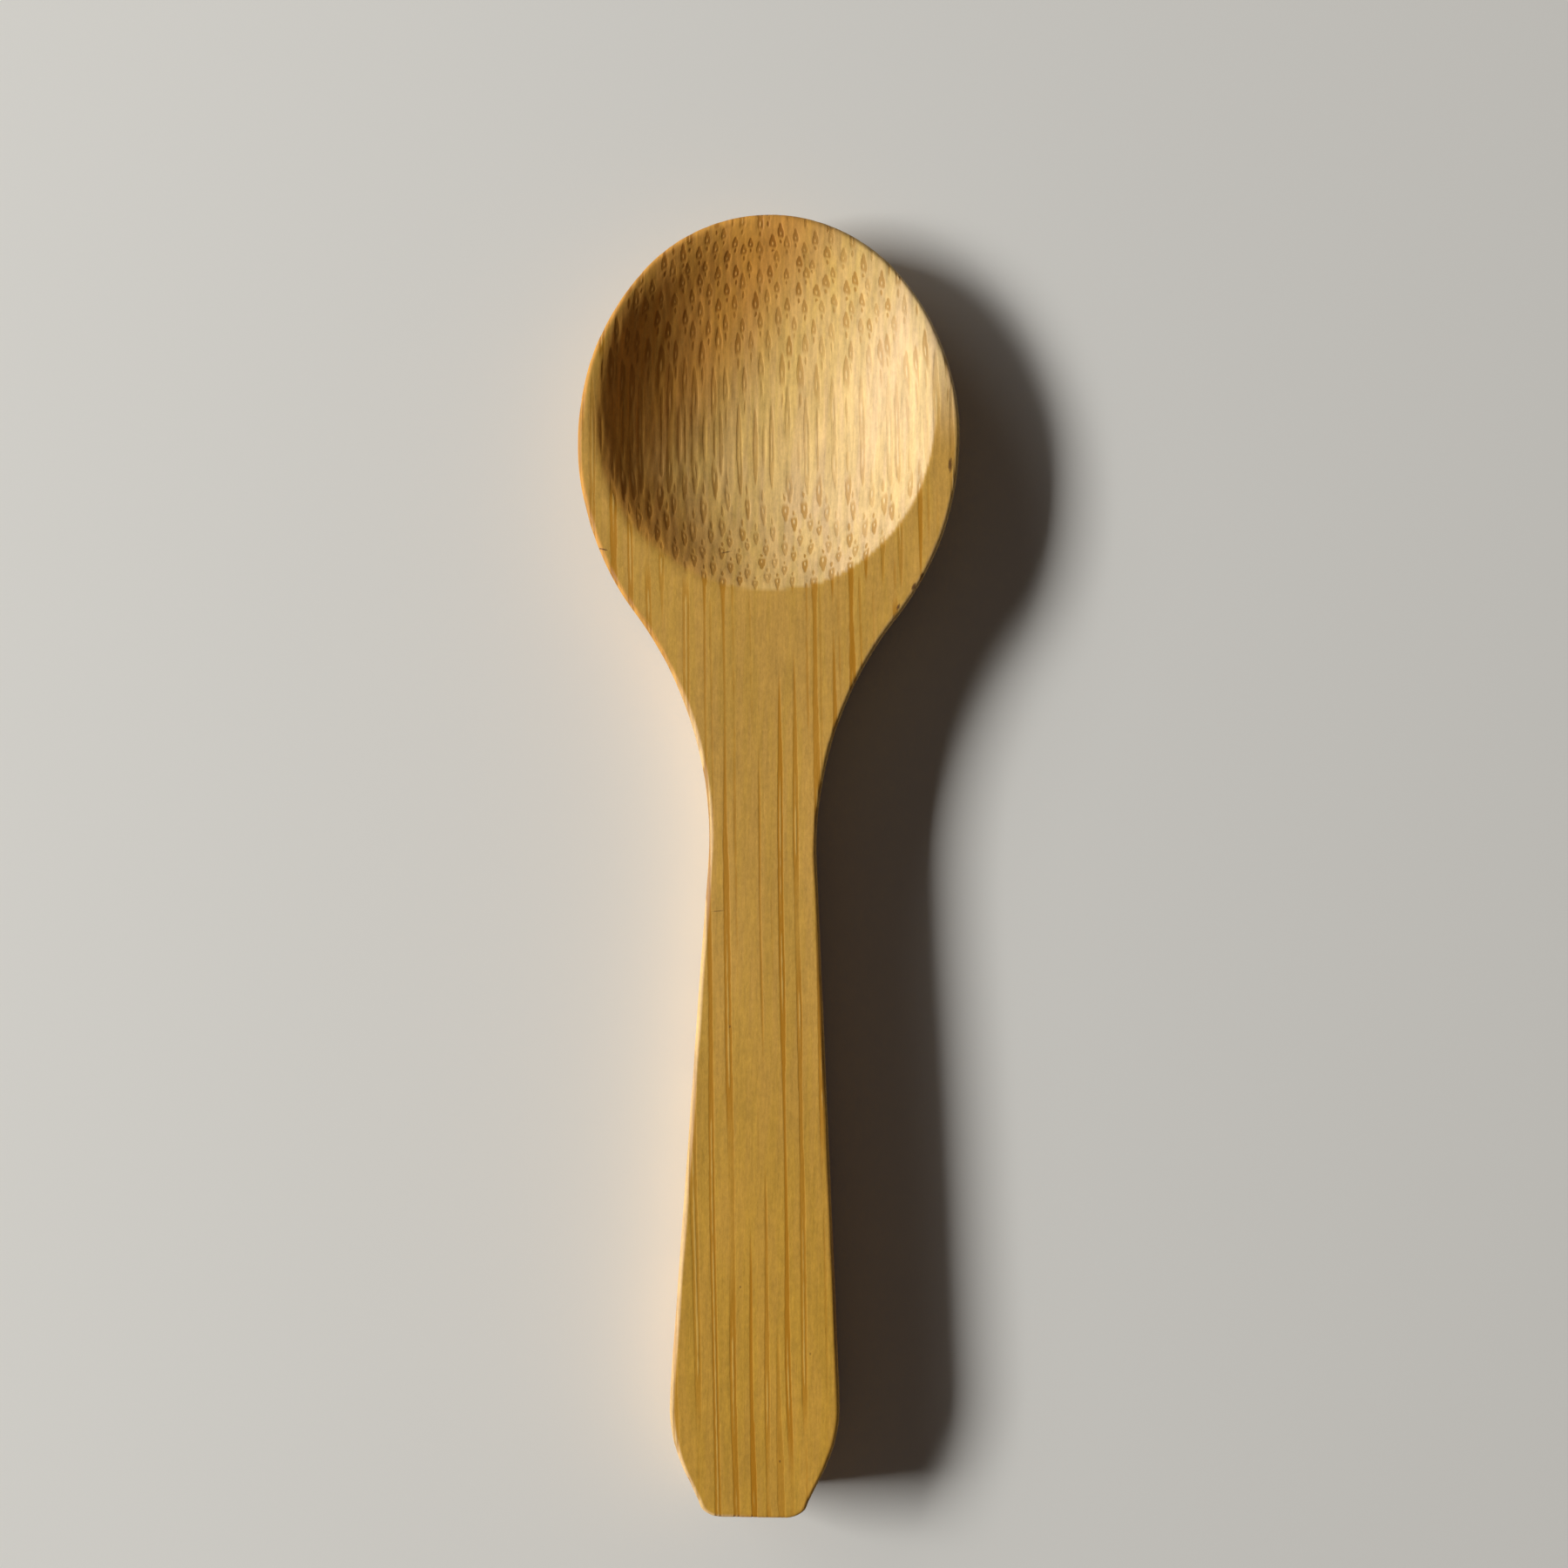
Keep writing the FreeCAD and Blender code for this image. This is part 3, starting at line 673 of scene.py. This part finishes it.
def worn_marks(tree, x, y, ragged):
    """How much of each place a small crack, stain or speck darkens."""
    darkened = 0.0
    for mark_x, mark_y, length, width, turn, strength in MARKS:
        aside = work(tree, "SUBTRACT", x, mark_x)
        along = work(tree, "SUBTRACT", y, mark_y)
        run, rise = math.cos(turn), math.sin(turn)
        first = work(tree, "MULTIPLY_ADD", along, rise, work(tree, "MULTIPLY", aside, run))
        second = work(tree, "MULTIPLY_ADD", along, run, work(tree, "MULTIPLY", aside, -rise))
        first = work(tree, "DIVIDE", first, length)
        second = work(tree, "DIVIDE", second, width)
        reach = distance_from(tree, first, second, 0.0)
        reach = work(tree, "ADD", reach, ragged)
        shade = soft_ramp(tree, reach, 1.25, 0.4, 0.0, strength)
        darkened = work(tree, "MAXIMUM", darkened, shade)
    return darkened


def bamboo():
    material = bpy.data.materials.new("sanded_bamboo")
    material.use_nodes = True
    tree = material.node_tree
    tree.nodes.clear()
    place = node(tree, "ShaderNodeTexCoord").outputs["Object"]
    place = vector_work(tree, "SCALE", place, 1 / MM)
    bare = node(tree, "ShaderNodeAttribute", attribute_name="bare_wood_and_lit_edge").outputs["Fac"]
    sheath, core, luck, x, y, z = fibre_bundles(tree, place, bare)
    # Painted shade and painted light across the bowl: brown on the left, pale on the right
    from_middle = work(tree, "SUBTRACT", y, LIGHT_TURN_MIDDLE)
    above = work(tree, "MAXIMUM", from_middle, 0.0)
    below = work(tree, "MINIMUM", from_middle, 0.0)
    lit_side = work(tree, "MULTIPLY_ADD", above, LIGHT_TURN_ABOVE, x)
    lit_side = work(tree, "MULTIPLY_ADD", below, LIGHT_TURN_BELOW, lit_side)
    unshaded = soft_ramp(tree, lit_side, SHADE_FADE_FROM, SHADE_FADE_TO)
    lit_side = soft_ramp(tree, lit_side, LIGHT_FADE_FROM, LIGHT_FADE_TO)
    # The handle's left edge, which faces the window, is also made paler: painted light
    lit_edge = work(tree, "MULTIPLY", soft_ramp(tree, y, 15.0, 8.0),
                    soft_ramp(tree, x, 0.0, -2.0))
    lit_side = work(tree, "MAXIMUM", lit_side, work(tree, "MULTIPLY", lit_edge, 0.7))
    # Less of the painted light lower down
    lit_side = work(tree, "MULTIPLY", lit_side, soft_ramp(tree, z, 0.5, 3.0, 0.4, 1.0))

    bare_ground = tint(tree, unshaded, SHADED_BROWN_GROUND, GOLD_GROUND)
    bare_ground = tint(tree, lit_side, bare_ground, LIT_PALE_GROUND)
    bare_sheath = tint(tree, unshaded, SHADED_BROWN_SHEATH, PALE_SHEATH)
    bare_core = tint(tree, lit_side, SHADED_BROWN_CORE, LIT_PALE_CORE)
    face_ground = tint(tree, soft_ramp(tree, y, -32.0, 0.0), END_GROUND, FACE_GROUND)
    ground = tint(tree, bare, face_ground, bare_ground)
    dark = tint(tree, bare, FACE_SHEATH, bare_sheath)
    light = tint(tree, bare, FACE_CORE, bare_core)

    streaks = noise(tree, place, (3.2, 0.3, 0.7), detail=3.0, rough=0.6, shift=1.0).outputs[0]
    grains = noise(tree, place, (5.5, 2.6, 2.8), detail=3.0, rough=0.7, shift=2.0).outputs[0]
    clouds = noise(tree, place, (0.25, 0.1, 0.25), detail=2.0, shift=5.0).outputs[0]
    hues = noise(tree, place, (1.7, 0.12, 0.4), detail=2.0, shift=9.0).outputs[0]
    blotches = noise(tree, place, (1.7, 1.0, 1.7), detail=4.0, rough=0.7, shift=11.0).outputs[0]
    streaky = work(tree, "MULTIPLY_ADD", bare, 0.6, 0.4)
    blotchy = work(tree, "MULTIPLY_ADD", bare, -0.35, 0.4)
    shade = 1.0
    for cause, size in ((streaks, streaky), (grains, 0.45), (clouds, 0.25), (blotches, blotchy)):
        shade = work(tree, "ADD", swing(tree, cause, size), shade)
    ground = vector_work(tree, "SCALE", ground, shade)
    streak_hue = tint(tree, soft_ramp(tree, hues, 0.38, 0.62), YELLOW_STREAK, PINK_STREAK)
    ground = vector_work(tree, "MULTIPLY", ground, streak_hue)

    grooved = node(tree, "ShaderNodeAttribute", attribute_name="grooved").outputs["Fac"]
    from_floor = work(tree, "ABSOLUTE", work(tree, "SUBTRACT", y, FLOOR_MIDDLE))
    strength = work(tree, "MULTIPLY_ADD", luck[1], 0.55, 0.35)
    for share in (soft_ramp(tree, from_floor, 2.0, 7.0, 0.55, 1.0),
                  work(tree, "MULTIPLY_ADD", grooved, 0.6, 0.4),
                  work(tree, "MULTIPLY_ADD", bare, -0.2, 1.2)):
        strength = work(tree, "MULTIPLY", strength, share)
    glow = work(tree, "MULTIPLY", core, work(tree, "MULTIPLY_ADD", bare, -0.2, 0.5))
    colour = tint(tree, glow, ground, light)
    colour = tint(tree, work(tree, "MULTIPLY", sheath, strength), colour, dark)
    marks = worn_marks(tree, x, y, swing(tree, grains, 1.2))
    colour = tint(tree, marks, colour, MARK_COLOUR)

    sunk = work(tree, "MULTIPLY", sheath, work(tree, "MULTIPLY_ADD", bare, -0.35, -0.25))
    height = work(tree, "MULTIPLY_ADD", streaks, 0.8, sunk)
    height = work(tree, "MULTIPLY_ADD", grains, 0.5, height)
    bump = node(tree, "ShaderNodeBump",
                {"Strength": 0.5, "Distance": BUMP_DEPTH * MM, "Height": height}).outputs[0]
    rough = work(tree, "MULTIPLY_ADD", sheath, -0.08, 0.58)
    rough = work(tree, "MULTIPLY_ADD", grains, 0.1, rough)
    skin = node(tree, "ShaderNodeBsdfPrincipled",
                {"Base Color": colour, "Roughness": rough, "IOR": WOOD_IOR,
                 "Specular IOR Level": WOOD_SHINE, "Normal": bump})
    out = node(tree, "ShaderNodeOutputMaterial")
    tree.links.new(skin.outputs[0], out.inputs["Surface"])
    return material


# Camera, paper and light

LENS = 45.7
FILM_WIDTH = 36.0
CAMERA_PLACE = (0.001396, 0.00527, 0.1429)
CAMERA_ROLL = 0.0144

# The paper lies a hair's breadth under the spoon
PAPER_REACH = 1.5
PAPER_HEIGHT = -0.00001
PAPER_COLOUR = (0.772, 0.773, 0.752, 1.0)
PAPER_ROUGHNESS = 0.9
PAPER_SHINE = 0.1

# The window: azimuth, elevation, how far away, width, height and power of each part
WINDOW_COLOUR = (1.0, 0.985, 0.95)
WINDOW_PARTS = {
    "window": (175.5, 32.4, 1.1, 0.488, 0.247, 13.6),
    "window_side": (157.6, 29.0, 1.1, 1.32, 0.35, 2.6),
}
ROOM_COLOUR = (1.0, 0.79, 0.67, 1.0)
ROOM_STRENGTH = 0.048


def set_camera():
    lens = bpy.data.cameras.new("camera")
    lens.lens = LENS
    lens.sensor_width = FILM_WIDTH
    lens.clip_start = 0.01
    camera = bpy.data.objects.new("camera", lens)
    camera.location = CAMERA_PLACE
    camera.rotation_euler = (0.0, 0.0, CAMERA_ROLL)
    bpy.context.scene.collection.objects.link(camera)
    bpy.context.scene.camera = camera


def plain_paper():
    material = bpy.data.materials.new("pale_paper")
    material.use_nodes = True
    skin = material.node_tree.nodes["Principled BSDF"]
    skin.inputs["Base Color"].default_value = PAPER_COLOUR
    skin.inputs["Roughness"].default_value = PAPER_ROUGHNESS
    skin.inputs["Specular IOR Level"].default_value = PAPER_SHINE
    return material


def lay_paper():
    mesh = bpy.data.meshes.new("paper")
    corners = [(-1, -1), (1, -1), (1, 1), (-1, 1)]
    corners = [(x * PAPER_REACH, y * PAPER_REACH, PAPER_HEIGHT) for x, y in corners]
    mesh.from_pydata(corners, [], [(0, 1, 2, 3)])
    mesh.materials.append(plain_paper())
    paper = bpy.data.objects.new("paper", mesh)
    bpy.context.scene.collection.objects.link(paper)


def soft_light(name, azimuth, elevation, away, width, height, power):
    """A bright panel that faces the spoon from this side and height, in degrees."""
    side, rise = math.radians(azimuth), math.radians(elevation)
    place = Vector((math.cos(rise) * math.cos(side), math.cos(rise) * math.sin(side),
                    math.sin(rise))) * away
    panel = bpy.data.lights.new(name, "AREA")
    panel.shape = "RECTANGLE"
    panel.size = width
    panel.size_y = height
    panel.energy = power
    panel.color = WINDOW_COLOUR
    lamp = bpy.data.objects.new(name, panel)
    lamp.location = place
    lamp.rotation_euler = (-place).to_track_quat("-Z", "Y").to_euler()
    bpy.context.scene.collection.objects.link(lamp)


def light_room():
    for name, sizes in WINDOW_PARTS.items():
        soft_light(name, *sizes)
    room = bpy.data.worlds.new("room")
    room.use_nodes = True
    sky = room.node_tree.nodes["Background"]
    sky.inputs["Color"].default_value = ROOM_COLOUR
    sky.inputs["Strength"].default_value = ROOM_STRENGTH
    bpy.context.scene.world = room
    bpy.context.scene.view_settings.view_transform = "Standard"


set_camera()
lay_paper()
light_room()

finish = bamboo()
points, parts = carve_spoon()
spoon = make_piece("carved_spoon", points, parts)
spoon = worked(spoon, fibre_relief(finish), RELIEF)
spoon.data.name = "carved_spoon"
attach(spoon, "root")
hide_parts("bamboo_spoon")
